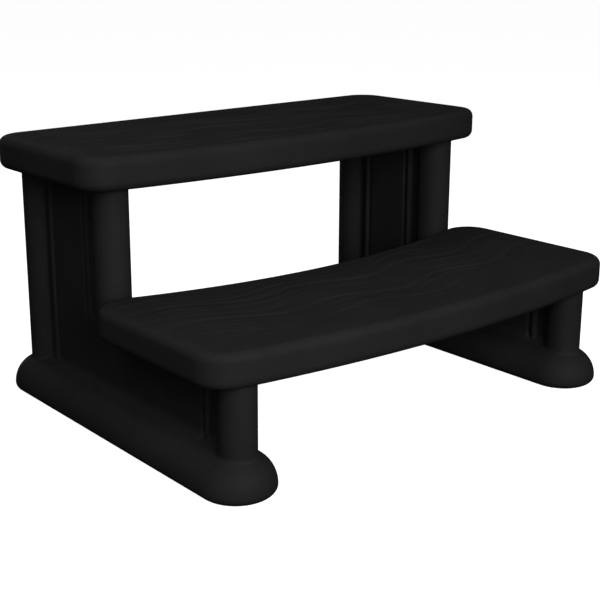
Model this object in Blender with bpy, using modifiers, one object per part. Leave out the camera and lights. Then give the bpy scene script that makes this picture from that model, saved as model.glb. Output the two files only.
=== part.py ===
"""A two-step spa step: two hollow side frames carry two hollow treads, held by eight screws.

+X runs along the treads, the steps are climbed towards +Y, and +Z is up. The origin is on the floor,
under the centre of the whole object. Every length is in metres.
"""

import math

import bmesh
import bpy
from mathutils import Matrix, Vector

# Treads
TREAD_HALF_LENGTH = 0.3806
TREAD_THICKNESS = 0.048
TREAD_CORNER_RADIUS = 0.0465
# A long edge's curve stops this many corner radii short of the tread's end.
CORNER_REACH = 1.6
TREAD_EDGE_RADIUS = 0.0122
UPPER_TREAD_TOP = 0.400
LOWER_TREAD_TOP = 0.2005
# Each long edge is a shallow parabola: y on the middle line, and y at the ends of the tread.
UPPER_FRONT = (-0.0295, 0.0023)
UPPER_BACK = (0.2887, 0.2887)
LOWER_FRONT = (-0.3017, -0.2686)
LOWER_BACK = (-0.0293, 0.0392)

# Side frames
FRAME_X = 0.3201
POST_RADIUS = 0.0257
FRONT_POST_Y = -0.2374
MIDDLE_POST_Y = 0.0470
REAR_POST_Y = 0.2489
TENON_RADIUS = 0.0195
TENON_HEIGHT = 0.012
# The middle post stops above the floor rail, in a taper that grows out of the panel below it.
POST_FOOT_Z = 0.138
POST_FULL_Z = 0.150
POST_FOOT_RADIUS = 0.008
POST_FOOT_WALL = 0.0046
WEB_HALF = 0.006
PANEL_HALF = 0.010
RIB_RADIUS = 0.005
RIB_STANDOFF = 0.0065
# Distance from a post's axis to the rib beside it, on the post's rear side and on its front side.
RIB_BEHIND_POST = 0.052
RIB_BEFORE_POST = 0.046
PANEL_FROM_RIB = 0.0115

# Floor rails
RAIL_FRONT_Y = -0.2870
RAIL_REAR_Y = 0.3017
RAIL_HALF_WIDTH = 0.0533
RAIL_FLOOR_HALF_WIDTH = 0.0371
RAIL_TOP_HALF_WIDTH = 0.012
RAIL_WIDEST_Z = 0.012
RAIL_HEIGHT = 0.0545

# Moulding
WALL = 0.0035
GAP = 0.0003
DRAIN_RADIUS = 0.004
DRAIN_INSET = 0.085

# Channels pressed up into each tread's underside until they meet the top skin
CHANNEL_LENGTH = 0.150
CHANNEL_HALF_WIDTH = 0.0045
CHANNEL_SPACING_X = 0.200
CHANNELS_PER_ROW = 3
UPPER_CHANNEL_ROWS = (0.085, 0.185)
LOWER_CHANNEL_ROWS = (-0.205, -0.110)

# Screws and the tabs that they pass through
TAB_THICKNESS = 0.006
TAB_HALF_WIDTH = 0.012
SCREW_FROM_FRAME = 0.024
SCREW_RADIUS = 0.0021
SCREW_LENGTH = 0.022
SCREW_HEAD_RADIUS = 0.0045
SCREW_HEAD_HEIGHT = 0.0026
SCREW_HEAD_FLAT_RADIUS = 0.0032
SCREW_CLEARANCE = 0.0005
PILOT_SPARE_DEPTH = 0.002
RECESS_LENGTH = 0.005
RECESS_WIDTH = 0.0011
RECESS_DEPTH = 0.0014
UPPER_SCREW_ROWS = (0.120, 0.180)
LOWER_SCREW_ROWS = (-0.165, -0.040)

# Facets
ROUND_STEPS = 24
SMALL_STEPS = 12
CORNER_STEPS = 6
EDGE_STEPS = 3
LONG_EDGE_STEPS = 12
WELD_DISTANCE = 1e-5
SAME_PLANE = math.radians(0.5)
SMOOTH_BELOW = math.radians(30)
BEVEL_ABOVE = math.radians(60)

# Colour, roughness and metallic value
BLACK_PLASTIC = ((0.016, 0.016, 0.017), 0.46, 0.0)
SCREW_STEEL = ((0.45, 0.45, 0.46), 0.35, 1.0)

SIDES = {"left": -1, "right": 1}


def clear_scene():
    for obj in list(bpy.data.objects):
        bpy.data.objects.remove(obj, do_unlink=True)


def new_collection(name):
    made = bpy.data.collections.new(name)
    bpy.context.scene.collection.children.link(made)
    return made


def new_material(name, colour, roughness, metallic):
    material = bpy.data.materials.new(name)
    material.use_nodes = True
    shader = material.node_tree.nodes["Principled BSDF"]
    shader.inputs["Base Color"].default_value = (*colour, 1.0)
    shader.inputs["Roughness"].default_value = roughness
    shader.inputs["Metallic"].default_value = metallic
    return material


def mesh_object(name, shape, collection):
    """An object in the collection that takes over a bmesh."""
    bmesh.ops.recalc_face_normals(shape, faces=shape.faces)
    mesh = bpy.data.meshes.new(name)
    shape.to_mesh(mesh)
    shape.free()
    made = bpy.data.objects.new(name, mesh)
    collection.objects.link(made)
    return made


def hide(helpers):
    """Leaves cutters and joined shapes out of the finished object."""
    for obj in helpers.objects:
        obj.hide_render = True
        obj.display_type = "WIRE"


def dress(mesh, finish):
    """Gives a mesh its own material, and smooth shading with sharp corners."""
    mesh.materials.append(new_material(mesh.name, *finish))
    mesh.shade_smooth()
    mesh.set_sharp_from_angle(angle=SMOOTH_BELOW)


def box(name, low, high, collection):
    shape = bmesh.new()
    bmesh.ops.create_cube(shape, size=1.0)
    size = Matrix.Diagonal([b - a for a, b in zip(low, high)])
    bmesh.ops.transform(shape, matrix=size.to_4x4(), verts=shape.verts)
    bmesh.ops.translate(shape, vec=[(a + b) / 2 for a, b in zip(low, high)], verts=shape.verts)
    return mesh_object(name, shape, collection)


def cylinder(name, radius, centre, z0, z1, collection, steps=ROUND_STEPS):
    shape = bmesh.new()
    bmesh.ops.create_cone(
        shape, cap_ends=True, segments=steps, radius1=radius, radius2=radius, depth=z1 - z0
    )
    bmesh.ops.translate(shape, vec=(centre[0], centre[1], (z0 + z1) / 2), verts=shape.verts)
    return mesh_object(name, shape, collection)


def turned(profile, steps):
    """A bmesh turned about Z from (radius, z) points that start and end on the axis."""
    shape = bmesh.new()
    points = [shape.verts.new((radius, 0.0, z)) for radius, z in profile]
    edges = [shape.edges.new(pair) for pair in zip(points, points[1:])]
    bmesh.ops.spin(
        shape, geom=points + edges, axis=(0, 0, 1), cent=(0, 0, 0), angle=math.tau, steps=steps
    )
    bmesh.ops.remove_doubles(shape, verts=shape.verts, dist=WELD_DISTANCE)
    return shape


def boolean(obj, operation, collection):
    modifier = obj.modifiers.new(operation.lower(), "BOOLEAN")
    modifier.operation = operation
    modifier.operand_type = "COLLECTION"
    modifier.collection = collection
    modifier.solver = "EXACT"


def long_edge(edge, x):
    """y of a tread's long edge at x."""
    middle, end = edge
    return middle + (end - middle) * (x / TREAD_HALF_LENGTH) ** 2


def rounded_corner(before, corner, after, radius):
    """Points of the arc that rounds one corner of an outline."""
    to_before = (before - corner).normalized()
    to_after = (after - corner).normalized()
    half_angle = to_before.angle(to_after) / 2
    centre = corner + (to_before + to_after).normalized() * radius / math.sin(half_angle)
    start = corner + to_before * radius / math.tan(half_angle) - centre
    end = corner + to_after * radius / math.tan(half_angle) - centre
    sweep = -start.angle_signed(end)
    return [
        centre + Matrix.Rotation(sweep * step / CORNER_STEPS, 2) @ start
        for step in range(CORNER_STEPS + 1)
    ]


def tread_outline(front, back, inset):
    """The plan of a tread, or of the hollow inside it, as points in order."""
    half = TREAD_HALF_LENGTH - inset
    radius = TREAD_CORNER_RADIUS - inset
    reach = half - CORNER_REACH * radius
    xs = [reach * (2 * step / LONG_EDGE_STEPS - 1) for step in range(LONG_EDGE_STEPS + 1)]
    front_run = [Vector((x, long_edge(front, x) + inset)) for x in xs]
    back_run = [Vector((x, long_edge(back, x) - inset)) for x in reversed(xs)]
    front_left, front_right = (Vector((x, long_edge(front, x) + inset)) for x in (-half, half))
    back_left, back_right = (Vector((x, long_edge(back, x) - inset)) for x in (-half, half))
    return (
        front_run
        + rounded_corner(front_run[-1], front_right, back_right, radius)
        + rounded_corner(front_right, back_right, back_run[0], radius)
        + back_run
        + rounded_corner(back_run[-1], back_left, front_left, radius)
        + rounded_corner(back_left, front_left, front_run[0], radius)
    )


def channel_outline(x, y, outset):
    """A slot with round ends, lying along X."""
    radius = CHANNEL_HALF_WIDTH + outset
    reach = CHANNEL_LENGTH / 2 - CHANNEL_HALF_WIDTH
    return [
        Vector((x + side * reach, y)) + Matrix.Rotation(side_turn + turn, 2) @ Vector((radius, 0.0))
        for side, side_turn in ((1, -math.pi / 2), (-1, math.pi / 2))
        for turn in (math.pi * step / CORNER_STEPS for step in range(CORNER_STEPS + 1))
    ]


def slab(name, outline, z0, z1, edge_radius, collection):
    """A flat outline given a thickness, with its upper and lower edges rounded."""
    curve = bpy.data.curves.new(name, "CURVE")
    curve.dimensions = "2D"
    curve.fill_mode = "BOTH"
    curve.extrude = (z1 - z0) / 2
    spline = curve.splines.new("POLY")
    spline.points.add(len(outline) - 1)
    for point, place in zip(spline.points, outline):
        point.co = (place.x, place.y, 0.0, 1.0)
    spline.use_cyclic_u = True
    guide = bpy.data.objects.new(name, curve)
    shape = bmesh.new()
    shape.from_mesh(bpy.data.meshes.new_from_object(guide))
    bpy.data.objects.remove(guide)
    bmesh.ops.remove_doubles(shape, verts=shape.verts, dist=WELD_DISTANCE)
    bmesh.ops.dissolve_limit(
        shape, angle_limit=SAME_PLANE, verts=shape.verts, edges=shape.edges
    )
    bmesh.ops.translate(shape, vec=(0.0, 0.0, (z0 + z1) / 2), verts=shape.verts)
    made = mesh_object(name, shape, collection)
    if edge_radius:
        bevel = made.modifiers.new("rounded_edges", "BEVEL")
        bevel.width = edge_radius
        bevel.segments = EDGE_STEPS
        bevel.limit_method = "ANGLE"
        bevel.angle_limit = BEVEL_ABOVE
    return made


def make_tread(name, top, edges, post_rows, screw_rows, channel_rows, parts):
    """A hollow slab with sockets for the posts, bosses for the screws and channels underneath."""
    floor = top - TREAD_THICKNESS
    hollow, bosses, holes = (new_collection(f"{name}_{use}") for use in ("hollow", "bosses", "holes"))
    outline = tread_outline(*edges, 0.0)
    tread = slab(name, outline, floor, top, TREAD_EDGE_RADIUS, parts)
    inner = tread_outline(*edges, WALL)
    slab("inside", inner, floor + WALL, top - WALL, TREAD_EDGE_RADIUS - WALL, hollow)
    socket_top = floor + TENON_HEIGHT + GAP
    pilot_top = floor + SCREW_LENGTH - TAB_THICKNESS + PILOT_SPARE_DEPTH
    for side in SIDES.values():
        for y in post_rows:
            place = (side * FRAME_X, y)
            socket = TENON_RADIUS + SCREW_CLEARANCE
            cylinder("socket_wall", socket + WALL, place, floor + WALL / 2, socket_top + WALL, bosses)
            cylinder("socket", socket, place, floor - WALL, socket_top, holes)
        for y in screw_rows:
            place = (side * (FRAME_X - SCREW_FROM_FRAME), y)
            pilot = SCREW_RADIUS + GAP
            boss = SCREW_RADIUS + WALL
            cylinder("boss", boss, place, floor + WALL / 2, pilot_top + WALL, bosses, SMALL_STEPS)
            cylinder("pilot", pilot, place, floor - WALL, pilot_top, holes, SMALL_STEPS)
        drain = (side * CHANNEL_SPACING_X / 2, sum(channel_rows) / len(channel_rows))
        cylinder("drain", DRAIN_RADIUS, drain, floor - WALL, floor + 2 * WALL, holes, SMALL_STEPS)
    for index in range(CHANNELS_PER_ROW):
        x = (index - (CHANNELS_PER_ROW - 1) / 2) * CHANNEL_SPACING_X
        for y in channel_rows:
            wall = channel_outline(x, y, WALL)
            slab("channel_wall", wall, floor + WALL / 2, top - WALL / 2, 0.0, bosses)
            slab("channel", channel_outline(x, y, 0.0), floor - WALL, top - 2 * WALL, 0.0, holes)
    boolean(tread, "DIFFERENCE", hollow)
    boolean(tread, "UNION", bosses)
    boolean(tread, "DIFFERENCE", holes)
    for helpers in (hollow, bosses, holes):
        hide(helpers)
    return tread


def rail_profile(inset):
    """The turned section of a floor rail, from the axis at the floor to the axis at the top."""
    widest = RAIL_HALF_WIDTH - inset
    below = RAIL_FLOOR_HALF_WIDTH - inset
    points = [(0.0, inset)]
    for step in range(EDGE_STEPS + 1):
        turn = math.pi / 2 * step / EDGE_STEPS
        lift = (RAIL_WIDEST_Z - inset) * (1 - math.cos(turn))
        points.append((below + (widest - below) * math.sin(turn), inset + lift))
    above = RAIL_HEIGHT - inset - RAIL_WIDEST_Z
    for step in range(1, CORNER_STEPS + 1):
        turn = math.pi / 2 * step / CORNER_STEPS
        radius = RAIL_TOP_HALF_WIDTH + (widest - RAIL_TOP_HALF_WIDTH) * math.cos(turn)
        points.append((radius, RAIL_WIDEST_Z + above * math.sin(turn)))
    return points + [(0.0, RAIL_HEIGHT - inset)]


def make_rail(name, inset, collection):
    """A floor rail, or the hollow inside it: a turned end whose rear half is drawn back along Y."""
    shape = turned(rail_profile(inset), ROUND_STEPS)
    front_centre = RAIL_FRONT_Y + RAIL_HALF_WIDTH
    rear_centre = RAIL_REAR_Y - RAIL_HALF_WIDTH
    rear = [face for face in shape.faces if face.calc_center_median().y > 0]
    split = bmesh.ops.split(shape, geom=rear)["geom"]
    moved = [part for part in split if isinstance(part, bmesh.types.BMVert)]
    bmesh.ops.translate(shape, vec=(0.0, rear_centre - front_centre, 0.0), verts=moved)
    rims = [edge for edge in shape.edges if edge.is_boundary]
    bmesh.ops.bridge_loops(shape, edges=rims)
    bmesh.ops.translate(shape, vec=(0.0, front_centre, 0.0), verts=shape.verts)
    return mesh_object(name, shape, collection)


def add_tenon(y, top, solids):
    cylinder("tenon", TENON_RADIUS, (0.0, y), top - WALL, top + TENON_HEIGHT, solids)


def add_post(y, top, solids, hollows):
    cylinder("post", POST_RADIUS, (0.0, y), RAIL_HEIGHT / 2, top, solids)
    cylinder("post_core", POST_RADIUS - WALL, (0.0, y), RAIL_HEIGHT / 2, top - 2 * WALL, hollows)
    add_tenon(y, top, solids)


def add_tapered_post(y, top, solids, hollows):
    """A post that starts in a tapered foot, above the floor rail."""
    for name, inset, foot_wall, high, group in (
        ("post", 0.0, 0.0, top, solids),
        ("post_core", WALL, POST_FOOT_WALL, top - 2 * WALL, hollows),
    ):
        low, full = POST_FOOT_Z + foot_wall, POST_FULL_Z + foot_wall
        radius = POST_RADIUS - inset
        profile = [(0.0, low), (POST_FOOT_RADIUS, low), (radius, full), (radius, high), (0.0, high)]
        mesh_object(name, turned(profile, ROUND_STEPS), group).location.y = y
    add_tenon(y, top, solids)


def add_web(front_post, rear_post, top, solids):
    """The web between two posts. Webs, ribs and panels end at slightly different heights, and so
    no two of their upper faces coincide."""
    low = (-WEB_HALF, front_post, RAIL_HEIGHT / 2)
    box("web", low, (WEB_HALF, rear_post, top - 2 * GAP), solids)


def add_ribs(y, floor, top, solids):
    """An upright rib on each face of the web."""
    for x in (-RIB_STANDOFF, RIB_STANDOFF):
        cylinder("rib", RIB_RADIUS, (x, y), floor, top - 3 * GAP, solids, SMALL_STEPS)


def add_panel(low, high, top, solids, hollows):
    """A flat part that stands out from both faces of the web, hollow inside."""
    floor = RAIL_HEIGHT / 2
    core = PANEL_HALF - WALL
    box("panel", (-PANEL_HALF, low, floor), (PANEL_HALF, high, top - 4 * GAP), solids)
    box("panel_core", (-core, low + WALL, floor), (core, high - WALL, top - 2 * WALL), hollows)


def add_tab(inward, y, top, solids, hollows):
    """A round-ended tab under a tread, with a clearance hole for its screw."""
    x = inward * SCREW_FROM_FRAME
    floor = top - TAB_THICKNESS
    low_x, high_x = sorted((0.0, x))
    low = (low_x, y - TAB_HALF_WIDTH, floor)
    high = (high_x, y + TAB_HALF_WIDTH, top - GAP)
    box("tab", low, high, solids)
    cylinder("tab_end", TAB_HALF_WIDTH, (x, y), floor, top, solids)
    hole = SCREW_RADIUS + SCREW_CLEARANCE
    cylinder("screw_hole", hole, (x, y), floor - WALL, top + WALL, hollows, SMALL_STEPS)


def make_side_frame(name, side, parts):
    """A floor rail, three posts, the web between them and the tabs, as one hollow moulding."""
    solids, hollows = (new_collection(f"{name}_{use}") for use in ("solids", "hollows"))
    frame = make_rail(name, 0.0, parts)
    make_rail("rail_inside", WALL, hollows)
    lower_top = LOWER_TREAD_TOP - TREAD_THICKNESS - GAP
    upper_top = UPPER_TREAD_TOP - TREAD_THICKNESS - GAP
    add_post(FRONT_POST_Y, lower_top, solids, hollows)
    add_post(REAR_POST_Y, upper_top, solids, hollows)
    add_tapered_post(MIDDLE_POST_Y, upper_top, solids, hollows)
    add_web(FRONT_POST_Y, MIDDLE_POST_Y, lower_top, solids)
    add_web(MIDDLE_POST_Y, REAR_POST_Y, upper_top, solids)
    front_rib = FRONT_POST_Y + RIB_BEHIND_POST
    middle_rib = MIDDLE_POST_Y + RIB_BEHIND_POST
    rear_rib = REAR_POST_Y - RIB_BEFORE_POST
    add_ribs(front_rib, RAIL_HEIGHT / 2, lower_top, solids)
    add_ribs(middle_rib, lower_top - 5 * GAP, upper_top, solids)
    add_ribs(rear_rib, RAIL_HEIGHT / 2, upper_top, solids)
    panel_step = middle_rib + PANEL_FROM_RIB
    add_panel(front_rib + PANEL_FROM_RIB, panel_step + WALL, lower_top, solids, hollows)
    add_panel(panel_step, rear_rib - PANEL_FROM_RIB, upper_top, solids, hollows)
    for rows, top in ((LOWER_SCREW_ROWS, lower_top), (UPPER_SCREW_ROWS, upper_top)):
        for y in rows:
            add_tab(-side, y, top, solids, hollows)
    for y in (RAIL_FRONT_Y + DRAIN_INSET, RAIL_REAR_Y - DRAIN_INSET):
        cylinder("drain", DRAIN_RADIUS, (0.0, y), -WALL, 2 * WALL, hollows, SMALL_STEPS)
    boolean(frame, "UNION", solids)
    boolean(frame, "DIFFERENCE", hollows)
    for obj in (frame, *solids.objects, *hollows.objects):
        obj.location.x = side * FRAME_X
    for helpers in (solids, hollows):
        hide(helpers)
    return frame


def screw_mesh():
    """A pan-head screw that points up, with a cross recess under its head."""
    recess = new_collection("screw_recess")
    head_floor = -SCREW_HEAD_HEIGHT
    profile = [
        (0.0, head_floor),
        (SCREW_HEAD_FLAT_RADIUS, head_floor),
        (SCREW_HEAD_RADIUS, head_floor / 2),
        (SCREW_HEAD_RADIUS, 0.0),
        (SCREW_RADIUS, 0.0),
        (SCREW_RADIUS, SCREW_LENGTH - 2 * SCREW_RADIUS),
        (0.0, SCREW_LENGTH),
    ]
    blank = mesh_object("screw_blank", turned(profile, SMALL_STEPS), recess)
    arms = new_collection("screw_recess_arms")
    for across in ((RECESS_LENGTH / 2, RECESS_WIDTH / 2), (RECESS_WIDTH / 2, RECESS_LENGTH / 2)):
        low = (-across[0], -across[1], head_floor - RECESS_DEPTH)
        box("arm", low, (*across, head_floor + RECESS_DEPTH), arms)
    boolean(blank, "DIFFERENCE", arms)
    graph = bpy.context.evaluated_depsgraph_get()
    mesh = bpy.data.meshes.new_from_object(blank.evaluated_get(graph))
    mesh.name = "screw"
    dress(mesh, SCREW_STEEL)
    for helpers in (recess, arms):
        hide(helpers)
    return mesh


def place_screws(tread_name, top, rows, mesh, parts):
    """Four screws under a tread, which go up through the side frames' tabs."""
    head = top - TREAD_THICKNESS - 2 * GAP - TAB_THICKNESS
    for side_name, side in SIDES.items():
        for row_name, y in zip(("front", "rear"), rows):
            screw = bpy.data.objects.new(f"{tread_name}_screw_{side_name}_{row_name}", mesh)
            screw.location = (side * (FRAME_X - SCREW_FROM_FRAME), y, head)
            parts.objects.link(screw)


def main():
    clear_scene()
    parts = new_collection("spa_steps")
    mouldings = [make_side_frame(f"{name}_side_frame", side, parts) for name, side in SIDES.items()]
    upper_edges = (UPPER_FRONT, UPPER_BACK)
    lower_edges = (LOWER_FRONT, LOWER_BACK)
    upper_posts = (MIDDLE_POST_Y, REAR_POST_Y)
    lower_posts = (FRONT_POST_Y,)
    for name, top, edges, post_rows, screw_rows, channel_rows in (
        ("upper", UPPER_TREAD_TOP, upper_edges, upper_posts, UPPER_SCREW_ROWS, UPPER_CHANNEL_ROWS),
        ("lower", LOWER_TREAD_TOP, lower_edges, lower_posts, LOWER_SCREW_ROWS, LOWER_CHANNEL_ROWS),
    ):
        mouldings.append(
            make_tread(f"{name}_tread", top, edges, post_rows, screw_rows, channel_rows, parts)
        )
    for moulding in mouldings:
        dress(moulding.data, BLACK_PLASTIC)
    screw = screw_mesh()
    place_screws("upper", UPPER_TREAD_TOP, UPPER_SCREW_ROWS, screw, parts)
    place_screws("lower", LOWER_TREAD_TOP, LOWER_SCREW_ROWS, screw, parts)
    root = bpy.data.objects.new("spa_steps_origin", None)
    for part in parts.objects:
        part.parent = root
    parts.objects.link(root)


main()
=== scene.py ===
"""The looks of a two-step spa step: moulded side frames, grained treads and zinc-plated screws.

Every length is in metres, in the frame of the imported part: +X along the treads, +Y the way the
steps are climbed, +Z up, with the origin on the floor under the middle of the steps.
"""

import itertools
import math

import bpy
import numpy as np
from mathutils import Matrix, Vector


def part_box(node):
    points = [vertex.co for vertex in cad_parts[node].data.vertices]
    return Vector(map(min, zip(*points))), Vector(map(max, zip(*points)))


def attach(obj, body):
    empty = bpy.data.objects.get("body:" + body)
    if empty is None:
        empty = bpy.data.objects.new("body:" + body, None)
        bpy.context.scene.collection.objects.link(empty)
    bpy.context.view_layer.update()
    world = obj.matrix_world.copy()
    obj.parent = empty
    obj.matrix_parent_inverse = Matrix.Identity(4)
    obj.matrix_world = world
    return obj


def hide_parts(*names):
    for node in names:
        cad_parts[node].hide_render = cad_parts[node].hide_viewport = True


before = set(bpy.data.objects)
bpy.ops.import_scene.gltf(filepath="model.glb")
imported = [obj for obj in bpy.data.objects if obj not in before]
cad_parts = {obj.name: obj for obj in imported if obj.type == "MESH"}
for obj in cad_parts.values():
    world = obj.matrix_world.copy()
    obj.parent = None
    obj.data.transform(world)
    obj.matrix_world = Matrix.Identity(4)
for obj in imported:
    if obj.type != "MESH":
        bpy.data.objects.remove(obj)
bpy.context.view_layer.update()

SIDES = {"left": -1, "right": 1}
TREADS = ("upper", "lower")
SCREW_ROWS = ("front", "rear")
GAP = 0.0003

# Side frames
POST_RADIUS = 0.0257
FRONT_POST_Y = -0.2374
MIDDLE_POST_Y = 0.0470
REAR_POST_Y = 0.2489
TENON_RADIUS = 0.0195
TENON_HEIGHT = 0.012
WEB_HALF = 0.006
PANEL_HALF = 0.010
PANEL_FROM_RIB = 0.0115
RIB_RADIUS = 0.005
RIB_STANDOFF = 0.0065
FRONT_RIB_Y = FRONT_POST_Y + 0.052
MIDDLE_RIB_Y = MIDDLE_POST_Y + 0.052
REAR_RIB_Y = REAR_POST_Y - 0.046
RAIL_FLOOR_HALF_WIDTH = 0.0371
RAIL_TOP_HALF_WIDTH = 0.012
RAIL_WIDEST_Z = 0.012
RAIL_HEIGHT = 0.0545
TAB_THICKNESS = 0.006
TAB_HALF_WIDTH = 0.012
SCREW_CLEARANCE = 0.0005
DRAIN_RADIUS = 0.004
DRAIN_INSET = 0.085
DRAIN_DEPTH = 0.0035

# The posts at the ends of the wall under each tread, that wall's ribs, and the posts with a tenon
WALL_POSTS = {"upper": (MIDDLE_POST_Y, REAR_POST_Y), "lower": (FRONT_POST_Y, REAR_POST_Y)}
WALL_RIBS = {"upper": (MIDDLE_RIB_Y, REAR_RIB_Y), "lower": (FRONT_RIB_Y, REAR_RIB_Y)}
TENON_POSTS = {"upper": (MIDDLE_POST_Y, REAR_POST_Y), "lower": (FRONT_POST_Y,)}

# The middle post stops above the rail. Its foot widens from one height and radius to the full post.
POST_FOOT_Z = 0.138
POST_FULL_Z = 0.150
POST_FOOT_RADIUS = 0.008

# Fillets and rounded edges of the side frames
WEB_FILLET = 0.014
POST_FOOT_FILLET = 0.004
POST_FILLET = 0.003
BEAD_FILLET = 0.0015
PANEL_EDGE = 0.0015
TOP_EDGE = 0.0012

# Where the walls start inside the rail, and how high the fillets that join them to it can reach
WALL_ROOT_Z = RAIL_HEIGHT / 3
SKIRT_TOP_Z = RAIL_HEIGHT * 2

# Grid steps of the side frames' surface
FINE_STEP = 0.0019
FINE_STEP_Z = 0.0020
LONG_STEP_Z = 0.006

# How a surface is found: the reach of a slope's measure, its least steepness and the rounds of moves
SLOPE_REACH = 2e-4
LEAST_STEEPNESS = 0.1
MOVE_ROUNDS = 4
SHARP_ANGLE = math.radians(35)

# Treads. Each long edge is a parabola, given by its Y at the middle and at the ends.
TREAD_CORNER_RADIUS = 0.0465
CORNER_REACH = 1.6
TREAD_EDGE_RADIUS = 0.0122
TREAD_EDGES = {
    "upper": ((-0.0295, 0.0023), (0.2887, 0.2887)),
    "lower": ((-0.3017, -0.2686), (-0.0293, 0.0392)),
}

# How a tread is divided: across a corner, as seen along X and along Y, and along its straight runs
LONG_CORNER_STEPS = 9
SHORT_CORNER_STEPS = 24
LONG_RUN_STEPS = 176
SHORT_RUN_STEPS = 232
EDGE_STEPS = 9
FACE_STEPS = 4
ROUND_STEPS = 48

# Channels pressed up into the treads' undersides
CHANNEL_LENGTH = 0.150
CHANNEL_HALF_WIDTH = 0.0045
CHANNEL_SPACING_X = 0.200
CHANNELS_PER_ROW = 3
CHANNEL_ROWS = {"upper": (0.085, 0.185), "lower": (-0.205, -0.110)}
CHANNEL_CEILING = 0.007
MOUTH_FLARE = 0.0015

# Wood grain on the treads. A line is a step up towards the back, between a dip and a ridge.
GRAIN = {
    "upper": {"first": 0.0555, "spacing": 0.0728, "bow": 0.0, "width": 0.0088, "seed": 3},
    "lower": {"first": -0.1799, "spacing": 0.0758, "bow": 0.363, "width": 0.0064, "seed": 5},
}
GRAIN_DIP = {"upper": 0.0020, "lower": 0.0012}
GRAIN_RISE = 0.0004
GRAIN_WAVELENGTH = 0.2065
GRAIN_CREST_X = 0.112
GRAIN_SWING = 0.0115
GRAIN_TAPER = 0.05
# A line's crest lies this many widths behind its middle. Beyond it the ridge fades, as the dip does.
GRAIN_CREST = math.sqrt(0.5)
RIDGE_STRETCH = 1.5
DIP_STRETCH = 2.2
GRAIN_ROWS = 3
GRAIN_RIM = 0.012
GRAIN_RIM_FADE = 0.010

# Fine grain lines lie at these shares of the space between main ones, and vary within these ranges.
FINE_GRAIN_SHARES = (0.27, 0.5, 0.74)
FINE_GRAIN_WIDTH = 0.0042
FINE_GRAIN_START = (-0.1, 0.05)
FINE_GRAIN_LENGTH = (0.12, 0.34)
FINE_GRAIN_OFFSET = (-0.09, 0.09)
FINE_GRAIN_STRENGTH = (0.2, 0.8)
FINE_GRAIN_DRIFT = (-0.03, 0.03)
FINE_GRAIN_BREAK = (-0.03, 0.16)

# Screws
SCREW_HEAD_HEIGHT = 0.0026
HEAD_ROUNDING = 0.6
HEAD_STEPS = 7
SCREW_ROOT_RADIUS = 0.0015
SCREW_CREST_RADIUS = 0.0021
SCREW_TIP_RADIUS = 0.00015
SCREW_PITCH = 0.0016
THREAD_TURN_STEPS = 28
THREAD_PITCH_STEPS = 8
RECESS_LENGTH = 0.005
RECESS_WIDTH = 0.0011
RECESS_DEPTH = 0.0014
RECESS_MOUTH, RECESS_FLOOR = 1.15, 0.7

# Materials
PLASTIC_TONES = ((0.0150, 0.0150, 0.0150), (0.0182, 0.0182, 0.0182))
PLASTIC_SPECK = (0.024, 0.024, 0.024)
PLASTIC_SCUFF = (0.026, 0.026, 0.026)
PLASTIC_WORN = (0.020, 0.020, 0.020)
PLASTIC_ROUGHNESS = (0.64, 0.76)
PLASTIC_SPECULAR = 0.12
SCUFF_ROUGHER = 0.10
WORN_SMOOTHER = 0.05
PEEL_DEPTH = 0.00035
SKIN_GRAIN_DEPTH = 0.00022
PARTING_WIDTH = 0.0006
PARTING_HEIGHT = 0.0003
FIBRES_PER_METRE = (10.0, 260.0)
FIBRE_DEPTH = 0.0009
ZINC_TONES = ((0.42, 0.43, 0.45), (0.58, 0.59, 0.60))
ZINC_ROUGHNESS = (0.26, 0.45)
ZINC_BLOOM_DEPTH = 0.00004

# Stage. Each light: azimuth and elevation in degrees, width, power in watts and distance.
FLOOR_SIZE = 40.0
FLOOR_TONE = (0.85, 0.85, 0.85, 1.0)
FLOOR_ROUGHNESS = 0.9
FLOOR_GLOW = 0.97
WHITE = (1.0, 1.0, 1.0, 1.0)
WORLD_STRENGTH = 0.0125
LIGHTS_AIM = (0.0, 0.0, 0.2)
LIGHTS = {
    "key": (-19.0, 23.0, 1.0, 21.0, 2.0),
    "overhead": (180.0, 76.0, 1.4, 6.0, 2.2),
    "left_low": (-55.0, 8.0, 1.2, 3.9, 2.2),
    "front_low": (24.0, 8.0, 1.2, 5.0, 2.2),
    "left_high": (-60.0, 52.0, 1.4, 5.3, 2.2),
    "left_side": (-90.0, 38.0, 1.4, 3.6, 2.2),
    "right_high": (60.0, 60.0, 1.4, 2.4, 2.2),
    "back_low": (180.0, 8.0, 1.2, 2.1, 2.2),
}
CAMERA_PLACE = (-1.1599, -1.3484, 0.6729)
CAMERA_AZIMUTH = -37.790
CAMERA_ELEVATION = 15.3155
CAMERA_ROLL = -0.4548
CAMERA_LENS = 72.15
CAMERA_SENSOR = 36.0
CAMERA_SHIFT = (0.0833, -0.05)


# ---------------------------------------------------------------- distance fields and their surface


def rounded_union(a, b, radius):
    """Two distance fields joined, with a fillet where they meet."""
    near = np.hypot(np.maximum(radius - a, 0.0), np.maximum(radius - b, 0.0))
    return np.maximum(np.minimum(a, b), radius) - near


def rounded_overlap(a, b, radius):
    """What two distance fields share, with the edge between them rounded."""
    over = np.hypot(np.maximum(radius + a, 0.0), np.maximum(radius + b, 0.0))
    return np.minimum(np.maximum(a, b), -radius) + over


def rectangle(x, y, half_x, low_y, high_y, radius=0.0):
    """Distance to a rectangle centred on x = 0, with rounded corners."""
    past_x = np.abs(x) - half_x + radius
    past_y = np.abs(y - (low_y + high_y) / 2) - (high_y - low_y) / 2 + radius
    outside = np.hypot(np.maximum(past_x, 0.0), np.maximum(past_y, 0.0))
    return outside + np.minimum(np.maximum(past_x, past_y), 0.0) - radius


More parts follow.
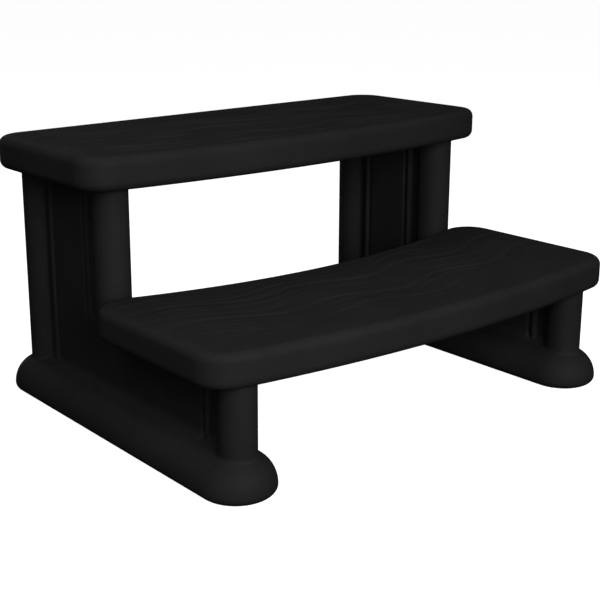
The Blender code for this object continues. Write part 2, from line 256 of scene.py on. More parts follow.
def slope_of(distance, points):
    """The gradient of a distance field at some points."""
    gradient = np.empty_like(points)
    for axis in range(3):
        step = np.zeros(3)
        step[axis] = SLOPE_REACH
        ahead, behind = distance(*(points + step).T), distance(*(points - step).T)
        gradient[:, axis] = (ahead - behind) / (2 * SLOPE_REACH)
    return gradient


def moved_onto(distance, points):
    """Points near a surface, moved along the field's slope until they lie on it."""
    for _ in range(MOVE_ROUNDS):
        slope = slope_of(distance, points)
        steep = np.maximum((slope**2).sum(axis=1), LEAST_STEEPNESS)
        points = points - slope * (distance(*points.T) / steep)[:, None]
    return points


def crossing_points(value, planes, cells):
    """In each cell, the mean of the places where the field changes sign along the cell's edges."""
    corners = list(itertools.product((0, 1), repeat=3))
    total = np.zeros((len(cells), 3))
    crossings = np.zeros(len(cells))
    for start, end in itertools.product(corners, repeat=2):
        if sum(end) - sum(start) != 1 or sum(abs(a - b) for a, b in zip(start, end)) != 1:
            continue
        first, last = cells + start, cells + end
        at_first, at_last = value[tuple(first.T)], value[tuple(last.T)]
        crossed = (at_first < 0.0) != (at_last < 0.0)
        share = np.where(crossed, at_first / np.where(crossed, at_first - at_last, 1.0), 0.0)
        for axis, plane in enumerate(planes):
            low, high = plane[first[:, axis]], plane[last[:, axis]]
            total[:, axis] += np.where(crossed, low + share * (high - low), 0.0)
        crossings += crossed
    return total / crossings[:, None]


def crossing_quads(inside, number):
    """A quad between the four cells round each grid edge that the surface crosses."""
    quads = []
    for axis in range(3):
        beside, above = np.eye(3, dtype=int)[[(axis + 1) % 3, (axis + 2) % 3]]
        start = inside[tuple(slice(0, -1) if a == axis else slice(None) for a in range(3))]
        end = inside[tuple(slice(1, None) if a == axis else slice(None) for a in range(3))]
        for crossed, ring in (
            (start & ~end, (beside + above, above, 0 * above, beside)),
            (~start & end, (beside, 0 * above, above, beside + above)),
        ):
            edges = np.argwhere(crossed)
            around = [number[tuple((edges - offset).T)] for offset in ring]
            quads.append(np.stack(around, axis=1))
    return np.concatenate(quads)


def surface_of(distance, planes):
    """The points and quads of the closed surface where a distance field is zero.

    Each cell of the grid that the surface crosses gets one point.
    """
    value = distance(*np.meshgrid(*planes, indexing="ij"))
    inside = value < 0.0
    cells_shape = tuple(size - 1 for size in value.shape)
    count = np.zeros(cells_shape, np.int8)
    for corner in itertools.product((0, 1), repeat=3):
        count += inside[tuple(slice(c, c + n) for c, n in zip(corner, cells_shape))]
    cells = np.argwhere((count > 0) & (count < 8))
    number = np.full(cells_shape, -1)
    number[tuple(cells.T)] = np.arange(len(cells))
    points = moved_onto(distance, crossing_points(value, planes, cells))
    return points, crossing_quads(inside, number)


def mesh_from(name, points, faces):
    mesh = bpy.data.meshes.new(name)
    mesh.from_pydata(points.tolist(), [], faces.tolist() if hasattr(faces, "tolist") else faces)
    mesh.validate()
    return mesh


def piece_from(name, mesh, nodes, material):
    """An object that stands for some CAD nodes, rides on the part and takes the given material."""
    mesh.materials.append(material)
    mesh.shade_smooth()
    mesh.set_sharp_from_angle(angle=SHARP_ANGLE)
    piece = bpy.data.objects.new(name, mesh)
    bpy.context.scene.collection.objects.link(piece)
    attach(piece, "root")
    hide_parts(*nodes)


# ---------------------------------------------------------------- side frames


def wall_plan(x, y, posts, ribs):
    """Seen from above: two posts, the web between them, its panel and its ribs."""
    columns = np.minimum(*(np.hypot(x, y - post) for post in posts)) - POST_RADIUS
    plan = rounded_union(rectangle(x, y, WEB_HALF, *posts), columns, POST_FILLET)
    panel = (ribs[0] + PANEL_FROM_RIB, ribs[1] - PANEL_FROM_RIB)
    plan = rounded_union(plan, rectangle(x, y, PANEL_HALF, *panel, PANEL_EDGE), BEAD_FILLET)
    for rib_y in ribs:
        rib = np.hypot(np.abs(x) - RIB_STANDOFF, y - rib_y) - RIB_RADIUS
        plan = rounded_union(plan, rib, BEAD_FILLET)
    return plan


def rail_distance(x, y, z, half_width, front_y, rear_y):
    """A floor rail: round ends, a flat sole and a domed back."""
    past_end = np.abs(y - (front_y + rear_y) / 2) - (rear_y - front_y) / 2 + half_width
    across = np.hypot(x, np.maximum(past_end, 0.0))
    dome = half_width - RAIL_TOP_HALF_WIDTH
    rise = (RAIL_HEIGHT - RAIL_WIDEST_Z) / dome
    back = np.hypot(np.maximum(across - RAIL_TOP_HALF_WIDTH, 0.0), (z - RAIL_WIDEST_Z) / rise) - dome
    tuck = half_width - RAIL_FLOOR_HALF_WIDTH
    drop = RAIL_WIDEST_Z / tuck
    under = np.hypot(np.maximum(across - RAIL_FLOOR_HALF_WIDTH, 0.0), (RAIL_WIDEST_Z - z) / drop)
    return np.where(z > RAIL_WIDEST_Z, back, (under - tuck) * drop)


def tab_and_hole(x, y, z, screw, middle_x, top):
    """A round-ended tab that reaches inward from the web, and the hole through it."""
    first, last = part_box(screw)
    screw_x = (first.x + last.x) / 2 - middle_x
    from_screw_y = y - (first.y + last.y) / 2
    past = x - np.clip(x, min(0.0, screw_x), max(0.0, screw_x))
    plan = np.hypot(past, from_screw_y) - TAB_HALF_WIDTH
    tab = rounded_overlap(plan, top - TAB_THICKNESS - z, TOP_EDGE)
    return tab, np.hypot(x - screw_x, from_screw_y) - SCREW_CREST_RADIUS - SCREW_CLEARANCE


def wall_distance(x, y, z, side_name, tread, middle_x):
    """The wall that carries one tread, with its tabs, their holes and its posts' tenons."""
    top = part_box(f"{tread}_tread")[0].z - GAP
    wall = wall_plan(x, y, WALL_POSTS[tread], WALL_RIBS[tread])
    holes = []
    for row in SCREW_ROWS:
        tab, hole = tab_and_hole(x, y, z, f"{tread}_screw_{side_name}_{row}", middle_x, top)
        wall = rounded_union(wall, tab, BEAD_FILLET)
        holes.append(hole)
    wall = rounded_overlap(wall, z - top, TOP_EDGE)
    for hole in holes:
        wall = np.maximum(wall, -hole)
    for post_y in TENON_POSTS[tread]:
        tenon = np.hypot(x, y - post_y) - TENON_RADIUS
        wall = np.minimum(wall, rounded_overlap(tenon, z - top - TENON_HEIGHT, TOP_EDGE))
    return wall


def foot_height(x, y):
    """The height of the middle post's tapered foot over a point of the floor."""
    from_axis = np.clip(np.hypot(x, y - MIDDLE_POST_Y), POST_FOOT_RADIUS, POST_RADIUS)
    share = (from_axis - POST_FOOT_RADIUS) / (POST_RADIUS - POST_FOOT_RADIUS)
    return POST_FOOT_Z + share * (POST_FULL_Z - POST_FOOT_Z)


def side_frame_distance(side_name):
    """The distance field of one side frame, around x = 0."""
    low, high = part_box(f"{side_name}_side_frame")
    middle_x, half_width = (low.x + high.x) / 2, (high.x - low.x) / 2
    web = (FRONT_POST_Y, REAR_POST_Y)
    panel = (FRONT_RIB_Y + PANEL_FROM_RIB, REAR_RIB_Y - PANEL_FROM_RIB)

    def distance(x, y, z):
        upper = wall_distance(x, y, z, side_name, "upper", middle_x)
        upper = rounded_overlap(upper, foot_height(x, y) - z, TOP_EDGE)
        walls = np.minimum(upper, wall_distance(x, y, z, side_name, "lower", middle_x))
        walls = np.maximum(walls, WALL_ROOT_Z - z)
        rail = rail_distance(x, y, z, half_width, low.y, high.y)
        joined = rounded_union(walls, rail, POST_FOOT_FILLET)
        for half, (start, end) in ((WEB_HALF, web), (PANEL_HALF, panel)):
            skirt = rectangle(x, y, half, start, end, PANEL_EDGE)
            skirt = np.maximum(skirt, np.maximum(WALL_ROOT_Z - z, z - SKIRT_TOP_Z))
            joined = np.minimum(joined, rounded_union(skirt, rail, WEB_FILLET))
        for drain_y in (low.y + DRAIN_INSET, high.y - DRAIN_INSET):
            drain = np.maximum(np.hypot(x, y - drain_y) - DRAIN_RADIUS, z - DRAIN_DEPTH)
            joined = np.maximum(joined, -drain)
        return joined

    return distance


def side_frame_heights(highest):
    """Grid planes, close together at the rail, the tabs and the tops, and further apart between."""
    margin = 3 * FINE_STEP_Z
    tops = {tread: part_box(f"{tread}_tread")[0].z - GAP for tread in TREADS}
    fine = [(-margin, RAIL_HEIGHT + 2 * WEB_FILLET), (POST_FOOT_Z - margin, tops["lower"] + margin)]
    fine += [(tops["upper"] - TAB_THICKNESS - margin, highest + margin)]
    heights = [-1.5 * FINE_STEP_Z]
    while heights[-1] < highest + 2 * FINE_STEP_Z:
        here = heights[-1]
        close = any(low - LONG_STEP_Z <= here <= high for low, high in fine)
        heights.append(here + (FINE_STEP_Z if close else LONG_STEP_Z))
    return np.array(heights)


def side_frame_surface(side_name):
    """The points and quads of one side frame, around x = 0."""
    low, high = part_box(f"{side_name}_side_frame")
    half_width = (high.x - low.x) / 2
    margin = 2 * FINE_STEP
    xs = np.arange(-half_width - margin, half_width + margin, FINE_STEP)
    ys = np.arange(low.y - margin, high.y + margin, FINE_STEP)
    planes = (xs, ys, side_frame_heights(high.z))
    points, quads = surface_of(side_frame_distance(side_name), planes)
    points[:, 2] = np.clip(points[:, 2], low.z, high.z)
    return points, quads


def make_side_frames(material):
    """The left side frame, and the right one as its mirror image."""
    points, quads = side_frame_surface("left")
    for side_name, side in SIDES.items():
        name = f"{side_name}_side_frame"
        low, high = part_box(name)
        placed = points * (-side, 1.0, 1.0) + ((low.x + high.x) / 2, 0.0, 0.0)
        faces = quads if side == SIDES["left"] else quads[:, ::-1]
        mesh = mesh_from(f"{name}_moulding", placed, faces)
        piece_from(f"{name}_moulding", mesh, [name], material)


# ---------------------------------------------------------------- treads


def long_edge(edge, x, half_length):
    middle, end = edge
    return middle + (end - middle) * (x / half_length) ** 2


def long_run(edge, x_from, x_to, outward, half_length):
    """Points and outward normals along a tread's front or back edge."""
    x = np.linspace(x_from, x_to, LONG_RUN_STEPS + 1)
    slope = 2 * (edge[1] - edge[0]) * x / half_length**2
    normals = outward * np.stack((-slope, np.ones_like(x)), axis=1)
    normals /= np.linalg.norm(normals, axis=1)[:, None]
    return np.stack((x, long_edge(edge, x, half_length)), axis=1), normals


def short_run(before, after):
    """Points and outward normals along a tread's straight end, between the arcs of two corners."""
    share = np.linspace(0.0, 1.0, SHORT_RUN_STEPS + 1)[:, None]
    points = before[0][-1] * (1 - share) + after[0][0] * share
    return points, np.repeat(before[1][-1:], len(share), axis=0)


def arc(before, corner, after, turns):
    """Points and outward normals of the arc that rounds a corner, at shares from 0 to 1 of its turn."""
    to_before = (before - corner) / np.linalg.norm(before - corner)
    to_after = (after - corner) / np.linalg.norm(after - corner)
    middle = to_before + to_after
    middle /= np.linalg.norm(middle)
    half_angle = math.acos(float(to_before @ middle))
    centre = corner + middle * TREAD_CORNER_RADIUS / math.sin(half_angle)
    sweep = math.pi - 2 * half_angle
    out = -middle
    sideways = np.array((-out[1], out[0]))
    angles = (turns - 0.5) * sweep
    normals = np.cos(angles)[:, None] * out + np.sin(angles)[:, None] * sideways
    return centre + TREAD_CORNER_RADIUS * normals, normals


def arc_halves(before, corner, after, first_steps, last_steps):
    first = arc(before, corner, after, np.linspace(0.0, 0.5, first_steps + 1))
    last = arc(before, corner, after, np.linspace(0.5, 1.0, last_steps + 1))
    return first, last


def tread_sides(front, back, half_length):
    """The tread's plan as four sides, which start and end at the middle of each corner's arc.

    They run round the tread counter-clockwise from the front left. Each gives points and normals.
    """
    reach = half_length - CORNER_REACH * TREAD_CORNER_RADIUS
    front_run = long_run(front, -reach, reach, -1, half_length)
    back_run = long_run(back, reach, -reach, 1, half_length)
    front_end, back_end = (long_edge(edge, half_length, half_length) for edge in (front, back))
    front_right, back_right = np.array((half_length, front_end)), np.array((half_length, back_end))
    front_left, back_left = np.array((-half_length, front_end)), np.array((-half_length, back_end))
    at_long, at_short = LONG_CORNER_STEPS, SHORT_CORNER_STEPS
    fr_in, fr_out = arc_halves(front_run[0][-1], front_right, back_right, at_long, at_short)
    br_in, br_out = arc_halves(front_right, back_right, back_run[0][0], at_short, at_long)
    bl_in, bl_out = arc_halves(back_run[0][-1], back_left, front_left, at_long, at_short)
    fl_in, fl_out = arc_halves(back_left, front_left, front_run[0][0], at_short, at_long)
    sides = (
        (fl_out, front_run, fr_in),
        (fr_out, short_run(fr_out, br_in), br_in),
        (br_out, back_run, bl_in),
        (bl_out, short_run(bl_out, fl_in), fl_in),
    )
    return [
        [np.concatenate((a[:-1], b, c[1:])) for a, b, c in zip(first, middle, last)]
        for first, middle, last in sides
    ]


def smooth_step(share):
    share = np.clip(share, 0.0, 1.0)
    return share * share * (3 - 2 * share)


def grain_height(x, y, lines):
    """How far the grain stands above or below a tread's face, from -1 to 1."""
    height = np.zeros_like(x)
    for middle, bow, strength, width, start, end, drift in lines:
        wave = GRAIN_SWING * np.cos(math.tau * (x - GRAIN_CREST_X - drift) / GRAIN_WAVELENGTH)
        off = (y - middle - bow * x**2 - wave) / width
        past = np.maximum(np.abs(off) - GRAIN_CREST, 0.0)
        off = np.clip(off, -GRAIN_CREST, GRAIN_CREST)
        off += np.where(off < 0.0, -past / DIP_STRETCH, past / RIDGE_STRETCH)
        taper = smooth_step((x - start) / GRAIN_TAPER) * smooth_step((end - x) / GRAIN_TAPER)
        height += strength * taper * off * np.exp(0.5 - off**2) * math.sqrt(2.0)
    return np.clip(height, -1.0, 1.0)


def grain_lines(first, spacing, bow, width, seed, half_length):
    """Main grain lines from end to end, with shorter and finer ones strewn between them."""
    random = np.random.default_rng(seed)
    mains = [first + spacing * row for row in range(GRAIN_ROWS)]
    lines = [(middle, bow, 1.0, width, -half_length, half_length, 0.0) for middle in mains]
    for middle in (first - spacing, *mains):
        for share in FINE_GRAIN_SHARES:
            x = -half_length + random.uniform(*FINE_GRAIN_START)
            while x < half_length - GRAIN_TAPER:
                length = random.uniform(*FINE_GRAIN_LENGTH)
                y = middle + spacing * (share + random.uniform(*FINE_GRAIN_OFFSET))
                strength = random.uniform(*FINE_GRAIN_STRENGTH)
                drift = random.uniform(*FINE_GRAIN_DRIFT)
                lines.append((y, bow, strength, FINE_GRAIN_WIDTH, x, x + length, drift))
                x += length + random.uniform(*FINE_GRAIN_BREAK)
    return lines


def stadium(x, y, reach, radius):
    """A slot with round ends along X, or a circle where its reach is 0, as an (n, 2) outline."""
    turns = np.linspace(-math.pi / 2, 3 * math.pi / 2, ROUND_STEPS, endpoint=False)
    ends = np.where(np.cos(turns + 1e-9) >= 0.0, reach, -reach)
    return np.stack((x + ends + radius * np.cos(turns), y + radius * np.sin(turns)), axis=1)


def stacked(rings):
    """The faces of a closed shape made of equal rings of points, from the lowest up."""
    size = len(rings[0])
    number = np.arange(size)
    faces = [number[::-1].tolist()]
    for _ in rings[1:]:
        following = np.roll(number, -1)
        faces += np.stack((number, following, following + size, number + size), axis=1).tolist()
        number = number + size
    faces.append(number.tolist())
    return faces


def cut(name, mesh, cutters):
    """A mesh with some closed shapes taken away. Each cutter is a list of equal rings of points."""
    points, faces, used = [], [], 0
    for rings in cutters:
        faces += [[number + used for number in face] for face in stacked(rings)]
        points += rings
        used += len(rings) * len(rings[0])
    blade = bpy.data.objects.new("blade", mesh_from("blade", np.concatenate(points), faces))
    blank = bpy.data.objects.new("blank", mesh)
    for obj in (blank, blade):
        bpy.context.scene.collection.objects.link(obj)
    modifier = blank.modifiers.new("cut", "BOOLEAN")
    modifier.object = blade
    modifier.operation = "DIFFERENCE"
    modifier.solver = "MANIFOLD"
    graph = bpy.context.evaluated_depsgraph_get()
    made = bpy.data.meshes.new_from_object(blank.evaluated_get(graph))
    made.name = name
    made.materials.clear()
    for obj in (blank, blade):
        bpy.data.objects.remove(obj)
    return made


def hole(floor, x, y, reach, radius, ceiling):
    """The rings of a slot or round hole in a tread's underside, with a flared mouth."""
    levels = ((floor - MOUTH_FLARE, 2 * MOUTH_FLARE), (floor + MOUTH_FLARE, 0.0), (ceiling, 0.0))
    rings = [(stadium(x, y, reach, radius + flare), z) for z, flare in levels]
    return [np.column_stack((ring, np.full(len(ring), z))) for ring, z in rings]


def holes_under(tread, floor, top):
    """Sockets for the posts, channels, drain holes and pilot holes in a tread's underside."""
    holes = []
    rows = CHANNEL_ROWS[tread]
    for side_name, side in SIDES.items():
        low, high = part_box(f"{side_name}_side_frame")
        for y in TENON_POSTS[tread]:
            radius, ceiling = TENON_RADIUS + SCREW_CLEARANCE, floor + TENON_HEIGHT + GAP
            holes.append(hole(floor, (low.x + high.x) / 2, y, 0.0, radius, ceiling))
        for row in SCREW_ROWS:
            first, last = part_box(f"{tread}_screw_{side_name}_{row}")
            middle, ceiling = (first + last) / 2, last.z + SCREW_PITCH
            holes.append(hole(floor, middle.x, middle.y, 0.0, SCREW_CREST_RADIUS + GAP, ceiling))
        drain_x, ceiling = side * CHANNEL_SPACING_X / 2, floor + 3 * DRAIN_RADIUS
        holes.append(hole(floor, drain_x, sum(rows) / 2, 0.0, DRAIN_RADIUS, ceiling))
    for index in range(CHANNELS_PER_ROW):
        x = (index - (CHANNELS_PER_ROW - 1) / 2) * CHANNEL_SPACING_X
        reach = CHANNEL_LENGTH / 2 - CHANNEL_HALF_WIDTH
        for y in rows:
            holes.append(hole(floor, x, y, reach, CHANNEL_HALF_WIDTH, top - CHANNEL_CEILING))
    return holes


def fractions(points):
    """Each point's share of the way along a line of points."""
    steps = np.linalg.norm(np.diff(points, axis=0), axis=1)
    return np.concatenate(((0.0,), np.cumsum(steps))) / steps.sum()


def patch(front, right, back, left):
    """A grid of points spread between four sides, which run round it counter-clockwise."""
    back, left = back[::-1], left[::-1]
    u = fractions(front)[:, None, None]
    v = fractions(right)[None, :, None]
    grid = (1 - v) * front[:, None] + v * back[:, None] + (1 - u) * left[None] + u * right[None]
    grid = grid - (1 - u) * (1 - v) * front[0] - u * (1 - v) * front[-1]
    return grid - (1 - u) * v * back[0] - u * v * back[-1]


def tread_top(tread, sides, half_length, base):
    """A grid of points over the tread's top, with the grain fading out before the rim."""
    front, back = TREAD_EDGES[tread]
    top = patch(*(points - TREAD_EDGE_RADIUS * normals for points, normals in sides))
    x, y = top[..., 0], top[..., 1]
    from_front = y - long_edge(front, x, half_length)
    from_back = long_edge(back, x, half_length) - y
    from_end = half_length - np.abs(x)
    from_rim = np.minimum(np.minimum(from_front, from_back), from_end) - GRAIN_RIM
    fade = smooth_step(from_rim / GRAIN_RIM_FADE)
    grain = grain_height(x, y, grain_lines(**GRAIN[tread], half_length=half_length))
    height = base + fade * grain * np.where(grain > 0.0, GRAIN_RISE, GRAIN_DIP[tread])
    return np.dstack((x, y, height))


def tread_rings(sides, floor, base):
    """The rings round the tread's rounded edge, from just below the top's rim down to the sole."""
    outline = np.concatenate([points[:-1] for points, _ in sides])
    normals = np.concatenate([normals[:-1] for _, normals in sides])

    def ring(inset, z):
        return np.column_stack((outline - inset * normals, np.full(len(outline), z)))

    radius = TREAD_EDGE_RADIUS
    turns = np.linspace(0.0, math.pi / 2, EDGE_STEPS + 1)
    rings = [ring(radius * (1 - math.sin(t)), base - radius * (1 - math.cos(t))) for t in turns[1:]]
    for z in np.linspace(base - radius, floor + radius, FACE_STEPS + 1)[1:-1]:
        rings.append(ring(0.0, z))
    rings += [ring(radius * (1 - math.cos(t)), floor + radius * (1 - math.sin(t))) for t in turns]
    return rings


def make_tread(tread, material):
    """A slab with rounded edges, raised grain on top, and sockets and channels underneath."""
    name = f"{tread}_tread"
    low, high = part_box(name)
    half_length = (high.x - low.x) / 2
    base = high.z - GRAIN_RISE
    sides = tread_sides(*TREAD_EDGES[tread], half_length)
    top = tread_top(tread, sides, half_length, base)
    rings = tread_rings(sides, low.z, base)

    grid = np.arange(top[..., 0].size).reshape(top.shape[:2])
    faces = np.stack((grid[:-1, :-1], grid[1:, :-1], grid[1:, 1:], grid[:-1, 1:]), axis=-1)
    faces = faces.reshape(-1, 4).tolist()
    above = np.concatenate((grid[:-1, 0], grid[-1, :-1], grid[:0:-1, -1], grid[0, :0:-1]))
    for index, ring in enumerate(rings):
        below = grid.size + index * len(ring) + np.arange(len(ring))
        faces += np.stack((above, below, np.roll(below, -1), np.roll(above, -1)), axis=-1).tolist()
        above = below
    faces.append(above[::-1].tolist())
    blank = mesh_from(f"{name}_blank", np.concatenate((top.reshape(-1, 3), *rings)), faces)
    mesh = cut(f"{name}_moulding", blank, holes_under(tread, low.z, base))
    piece_from(f"{name}_moulding", mesh, [name], material)


# ---------------------------------------------------------------- screws


def head_profile(head_radius):
    """Radius and height up a rounded screw head, and in to the shank."""
    round_over = SCREW_HEAD_HEIGHT * HEAD_ROUNDING
    flat = head_radius - round_over
    curve = np.linspace(0.0, math.pi / 2, HEAD_STEPS)
    head = [(flat + round_over * math.sin(t), round_over * (1 - math.cos(t))) for t in curve]
    return head + [(head_radius, SCREW_HEAD_HEIGHT), (SCREW_CREST_RADIUS, SCREW_HEAD_HEIGHT)]


def thread_profile(turns, length):
    """Radii and height of each ring up the screw's thread, which narrows to its tip."""
    start, tip_start = SCREW_HEAD_HEIGHT + SCREW_PITCH / 4, length - 2 * SCREW_CREST_RADIUS
    steps = int((length - start) / SCREW_PITCH * THREAD_PITCH_STEPS)
    rings = []
    for z in np.linspace(start, length, steps, endpoint=False):
        phase = (z / SCREW_PITCH - turns / math.tau) % 1.0
        crest = np.maximum(0.0, 1.0 - np.abs(phase - 0.5) * 4.0)
        radius = SCREW_ROOT_RADIUS + (SCREW_CREST_RADIUS - SCREW_ROOT_RADIUS) * crest
        narrowing = min(1.0, (length - z) / (length - tip_start))
        rings.append((np.maximum(radius * narrowing, SCREW_TIP_RADIUS), z))
    return rings


def cross_recess():
    """The rings of a cross that narrows into the screw's head."""
    long, wide = RECESS_LENGTH / 2, RECESS_WIDTH / 2
    corners = ((wide, -long), (wide, -wide), (long, -wide))
    cross = np.array([
        (x * turn_x - y * turn_y, x * turn_y + y * turn_x)
        for turn_x, turn_y in ((1, 0), (0, 1), (-1, 0), (0, -1))
        for x, y in corners
    ])
    levels = ((-RECESS_DEPTH, RECESS_MOUTH), (RECESS_DEPTH, RECESS_FLOOR))
    return [np.column_stack((cross * size, np.full(len(cross), z))) for z, size in levels]


def make_screw(node, material):
    """A pan-head screw that points up: a rounded head with a cross recess, and a real thread."""
    low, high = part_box(node)
    centre = (low + high) / 2
    turns = np.linspace(0.0, math.tau, THREAD_TURN_STEPS, endpoint=False)
    profile = head_profile((high.x - low.x) / 2) + thread_profile(turns, high.z - low.z)
    rings = []
    for radii, z in profile:
        radii, heights = np.broadcast_to(radii, turns.shape), np.full(len(turns), z)
        rings.append(np.stack((radii * np.cos(turns), radii * np.sin(turns), heights), axis=1))
    blank = mesh_from(f"{node}_blank", np.concatenate(rings), stacked(rings))
    mesh = cut(f"{node}_turned", blank, [cross_recess()])
    mesh.transform(Matrix.Translation((centre.x, centre.y, low.z)))
    piece_from(f"{node}_turned", mesh, [node], material)


# ---------------------------------------------------------------- materials


class Graph:
    """A new material's shader nodes, with short ways to add and join the kinds used here."""

    def __init__(self, name):
        self.material = bpy.data.materials.new(name)
        self.material.use_nodes = True
        self.nodes, self.links = self.material.node_tree.nodes, self.material.node_tree.links
        self.shader = self.nodes["Principled BSDF"]

    def fill(self, socket, value):
        """Give a socket a value, or another node's output."""
        if isinstance(value, bpy.types.NodeSocket):
            self.links.new(value, socket)
        else:
            socket.default_value = value

    def finish(self, **sockets):
        """Fill the shader's own sockets, named with _ for spaces."""
        for name, value in sockets.items():
            self.fill(self.shader.inputs[name.replace("_", " ")], value)

    def add(self, kind, **sockets):
        """A new node, with its sockets filled. They are named with _ for spaces."""
        node = self.nodes.new(kind)
        for name, value in sockets.items():
            self.fill(node.inputs[name.replace("_", " ")], value)
        return node

    def place(self):
        return self.nodes.new("ShaderNodeTexCoord").outputs["Object"]

    def axes(self, vector):
        parts = self.add("ShaderNodeSeparateXYZ", Vector=vector)
        return parts.outputs["X"], parts.outputs["Y"], parts.outputs["Z"]

    def surface(self, quantity):
        return self.nodes.new("ShaderNodeNewGeometry").outputs[quantity]

    def noise(self, place, scale, detail, roughness=0.5):
        made = self.add(
            "ShaderNodeTexNoise", Vector=place, Scale=scale, Detail=detail, Roughness=roughness
        )
        return made.outputs["Fac"]

    def spread(self, value, source, target=(0.0, 1.0)):
        """A value in one range, mapped onto another."""
        ends = dict(zip(("From_Min", "From_Max", "To_Min", "To_Max"), (*source, *target)))
        return self.add("ShaderNodeMapRange", Value=value, **ends).outputs["Result"]

    def math(self, operation, *values):
        made = self.nodes.new("ShaderNodeMath")
        made.operation = operation
        for socket, value in zip(made.inputs, values):
            self.fill(socket, value)
        return made.outputs["Value"]

    def bump(self, height, distance, below=None):
        """A bump of some depth in metres, on top of another one."""
        made = self.add("ShaderNodeBump", Height=height, Distance=distance)
        if below is not None:
            self.fill(made.inputs["Normal"], below)
        return made.outputs["Normal"]

    def blend(self, share, first, second):
        """A colour between two others. Each is a colour or another node's output."""
        made = self.nodes.new("ShaderNodeMix")
        made.data_type = "RGBA"
        self.fill(made.inputs["Factor"], share)
        for socket, colour in zip((made.inputs[6], made.inputs[7]), (first, second)):
            self.fill(socket, (*colour, 1.0) if isinstance(colour, tuple) else colour)
        return made.outputs[2]


def plastic_material(name, extra_bump):
    """Black moulded polyethylene: a fine even grain, soft unevenness, and faint scuffs and dust."""
    graph = Graph(name)
    place = graph.place()
    cloud = graph.noise(place, scale=11.0, detail=3.0)
    colour = graph.blend(graph.spread(cloud, (0.35, 0.65)), *PLASTIC_TONES)
    speck = graph.noise(place, scale=900.0, detail=2.0)
    colour = graph.blend(graph.spread(speck, (0.62, 0.78), (0.0, 0.5)), colour, PLASTIC_SPECK)
    stretched = graph.add("ShaderNodeMapping", Vector=place, Scale=(9.0, 60.0, 60.0))
    scratch = graph.noise(stretched.outputs["Vector"], scale=3.0, detail=5.0, roughness=0.7)
    scuff = graph.spread(scratch, (0.62, 0.80), (0.0, 0.55))
    colour = graph.blend(scuff, colour, PLASTIC_SCUFF)
    worn = graph.spread(graph.surface("Pointiness"), (0.52, 0.60), (0.0, 0.6))
    colour = graph.blend(worn, colour, PLASTIC_WORN)

    mottle = graph.noise(place, scale=70.0, detail=4.0, roughness=0.6)
    rough = graph.spread(mottle, (0.3, 0.7), PLASTIC_ROUGHNESS)
    rough = graph.math("ADD", rough, graph.math("MULTIPLY", scuff, SCUFF_ROUGHER))
    rough = graph.math("SUBTRACT", rough, graph.math("MULTIPLY", worn, WORN_SMOOTHER))

    normal = graph.bump(graph.noise(place, scale=170.0, detail=1.0), PEEL_DEPTH)
    normal = extra_bump(graph, place, normal)
    normal = graph.bump(graph.noise(place, scale=1500.0, detail=2.0), SKIN_GRAIN_DEPTH, normal)
    specular = PLASTIC_SPECULAR
    graph.finish(Base_Color=colour, Roughness=rough, Normal=normal, Specular_IOR_Level=specular)
    return graph.material


def parting_line(graph, place, normal):
    """The fine raised line that a two-part mould leaves along the middle of a side frame."""
    low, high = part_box("right_side_frame")
    from_middle = graph.math("ABSOLUTE", graph.axes(place)[0])
    off = graph.math("ABSOLUTE", graph.math("SUBTRACT", from_middle, (low.x + high.x) / 2))
    return graph.bump(graph.spread(off, (0.0, PARTING_WIDTH), (1.0, 0.0)), PARTING_HEIGHT, normal)


def wood_fibres(bow):
    """A bump of fine fibres along a tread's top, which follow the waves of its grain."""

    def fibres(graph, place, normal):
        x, y, _ = graph.axes(place)
        turn = graph.math("SUBTRACT", x, GRAIN_CREST_X)
        turn = graph.math("MULTIPLY", turn, math.tau / GRAIN_WAVELENGTH)
        wave = graph.math("MULTIPLY", graph.math("COSINE", turn), GRAIN_SWING)
        bowed = graph.math("MULTIPLY", graph.math("MULTIPLY", x, x), bow)
        y = graph.math("SUBTRACT", graph.math("SUBTRACT", y, wave), bowed)
        x, y = (graph.math("MULTIPLY", *pair) for pair in zip((x, y), FIBRES_PER_METRE))
        along = graph.add("ShaderNodeCombineXYZ", X=x, Y=y)
        streak = graph.noise(along.outputs["Vector"], scale=1.0, detail=3.0, roughness=0.6)
        on_top = graph.spread(graph.axes(graph.surface("Normal"))[2], (0.9, 0.98))
        return graph.bump(graph.math("MULTIPLY", streak, on_top), FIBRE_DEPTH, normal)

    return fibres


def zinc_material():
    """Zinc-plated steel, slightly dulled and uneven."""
    graph = Graph("zinc_plated_steel")
    place = graph.place()
    bloom = graph.noise(place, scale=700.0, detail=4.0, roughness=0.6)
    colour = graph.blend(graph.spread(bloom, (0.4, 0.65)), *ZINC_TONES)
    rough = graph.spread(bloom, (0.3, 0.7), ZINC_ROUGHNESS)
    normal = graph.bump(graph.noise(place, scale=4000.0, detail=2.0), ZINC_BLOOM_DEPTH)
    graph.finish(Base_Color=colour, Roughness=rough, Normal=normal, Metallic=1.0)
    return graph.material


# ---------------------------------------------------------------- stage, light and camera


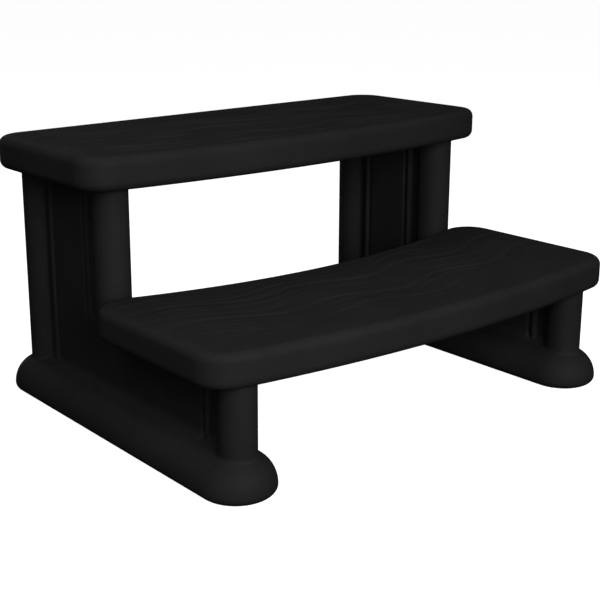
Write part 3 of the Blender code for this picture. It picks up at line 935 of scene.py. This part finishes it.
def make_floor():
    bpy.ops.mesh.primitive_plane_add(size=FLOOR_SIZE)
    floor = bpy.context.object
    floor.name = "floor"
    paper = Graph("floor_paper")
    paper.finish(Base_Color=FLOOR_TONE, Roughness=FLOOR_ROUGHNESS)
    paper.finish(Emission_Color=WHITE, Emission_Strength=FLOOR_GLOW)
    floor.data.materials.append(paper.material)
    floor.visible_diffuse = False
    floor.visible_glossy = False


def soft_light(name, azimuth, elevation, size, power, distance):
    """An area light that shines at the steps. Azimuth 0 is in front of them and 90 is to their right."""
    data = bpy.data.lights.new(name, "AREA")
    data.shape = "DISK"
    data.size = size
    data.energy = power
    light = bpy.data.objects.new(name, data)
    bpy.context.scene.collection.objects.link(light)
    turn, rise = math.radians(azimuth), math.radians(elevation)
    away = Vector((math.sin(turn) * math.cos(rise), -math.cos(turn) * math.cos(rise), math.sin(rise)))
    light.location = Vector(LIGHTS_AIM) + distance * away
    light.rotation_euler = away.to_track_quat("Z", "Y").to_euler()


def make_lights():
    world = bpy.data.worlds.new("studio")
    world.use_nodes = True
    background = world.node_tree.nodes["Background"]
    background.inputs["Color"].default_value = WHITE
    background.inputs["Strength"].default_value = WORLD_STRENGTH
    bpy.context.scene.world = world
    for name, light in LIGHTS.items():
        soft_light(name, *light)


def make_camera():
    data = bpy.data.cameras.new("camera")
    data.lens = CAMERA_LENS
    data.sensor_width = CAMERA_SENSOR
    data.shift_x, data.shift_y = CAMERA_SHIFT
    camera = bpy.data.objects.new("camera", data)
    bpy.context.scene.collection.objects.link(camera)
    turn = Matrix.Rotation(math.radians(CAMERA_AZIMUTH), 4, "Z")
    tilt = Matrix.Rotation(math.radians(90.0 - CAMERA_ELEVATION), 4, "X")
    roll = Matrix.Rotation(math.radians(CAMERA_ROLL), 4, "Z")
    camera.matrix_world = Matrix.Translation(CAMERA_PLACE) @ turn @ tilt @ roll
    bpy.context.scene.camera = camera


make_side_frames(plastic_material("frame_plastic", parting_line))
for tread_name in TREADS:
    fibres_bump = wood_fibres(GRAIN[tread_name]["bow"])
    make_tread(tread_name, plastic_material(f"{tread_name}_tread_plastic", fibres_bump))
zinc = zinc_material()
for tread_name in TREADS:
    for side_name in SIDES:
        for row in SCREW_ROWS:
            make_screw(f"{tread_name}_screw_{side_name}_{row}", zinc)
make_floor()
make_lights()
make_camera()
bpy.context.scene.view_settings.view_transform = "Standard"
